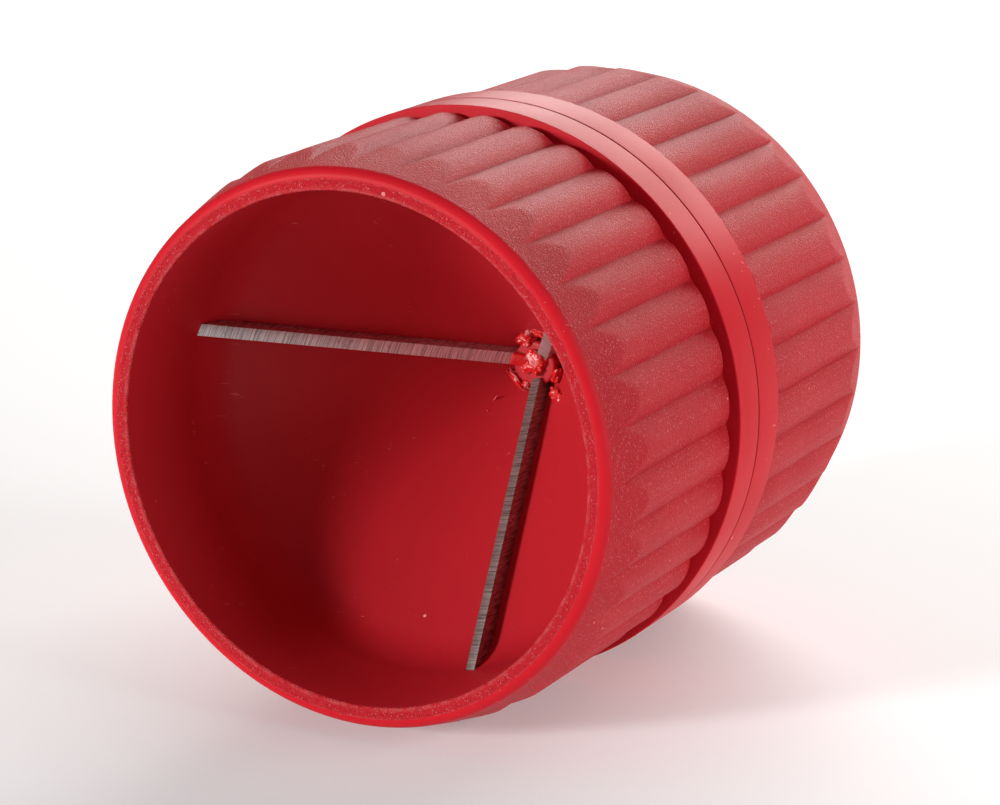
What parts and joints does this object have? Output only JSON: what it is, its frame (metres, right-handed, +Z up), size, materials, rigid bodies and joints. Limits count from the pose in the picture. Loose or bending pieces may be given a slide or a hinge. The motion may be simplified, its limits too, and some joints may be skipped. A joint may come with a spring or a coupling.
{
  "type": "pipe deburring tool",
  "caption": "Hand-held deburring tool for pipe ends: a ribbed round body with a smooth middle band, a bladed cup at one end and a bladed male cone at the other.",
  "frame": {"origin": "on the tool's axis, halfway between the two rims", "axes": "+Y along the tool's axis from the cup to the male cone, mouth of the cup towards -Y, +Z up with the tool lying on its side"},
  "size_m": [0.058, 0.06, 0.058],
  "materials": {
    "shell_plastic": "fine spark texture outside, smooth inside and on the band",
    "blade_steel": "ground across the cutting edge"
  },
  "bodies": {
    "root": {"front_shell": "shell_plastic", "rear_shell": "shell_plastic", "blade_upper": "blade_steel", "blade_left": "blade_steel", "blade_lower": "blade_steel"}
  },
  "joints": []
}
